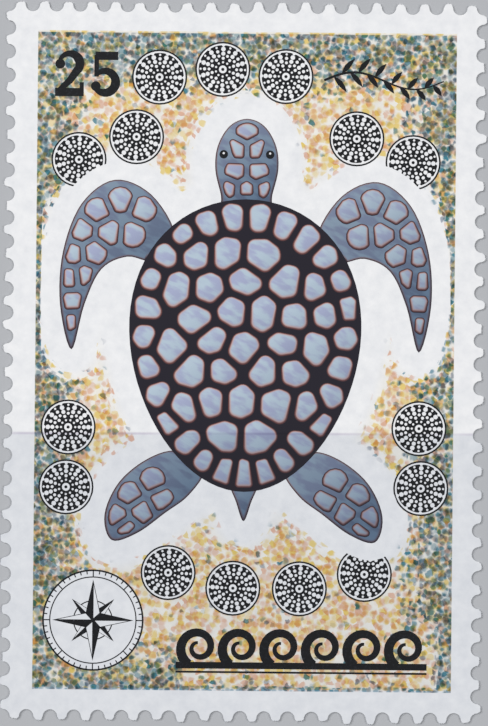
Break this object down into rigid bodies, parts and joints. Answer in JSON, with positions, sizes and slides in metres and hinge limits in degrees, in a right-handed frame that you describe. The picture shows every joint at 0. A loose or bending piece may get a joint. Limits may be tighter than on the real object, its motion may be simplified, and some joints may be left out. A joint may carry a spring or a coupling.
{
  "type": "postage stamp",
  "caption": "Upright perforated postage stamp: one gummed paper sheet with a printed picture panel inside a plain margin and torn teeth along every edge.",
  "frame": {"origin": "middle of the gummed back face, on the surface that the stamp lies on, midway between the four lines of perforation holes", "axes": "+Z out of the printed front, +Y to the top of the printed design, +X to its right"},
  "size_m": [0.029, 0.0434, 0.0001],
  "materials": {
    "printed_paper": "smooth white coated paper, offset printed in ochre, blue-green, pink and black on the front, with matt dried gum on the back"
  },
  "bodies": {
    "root": {"stamp": "printed_paper"}
  },
  "joints": []
}
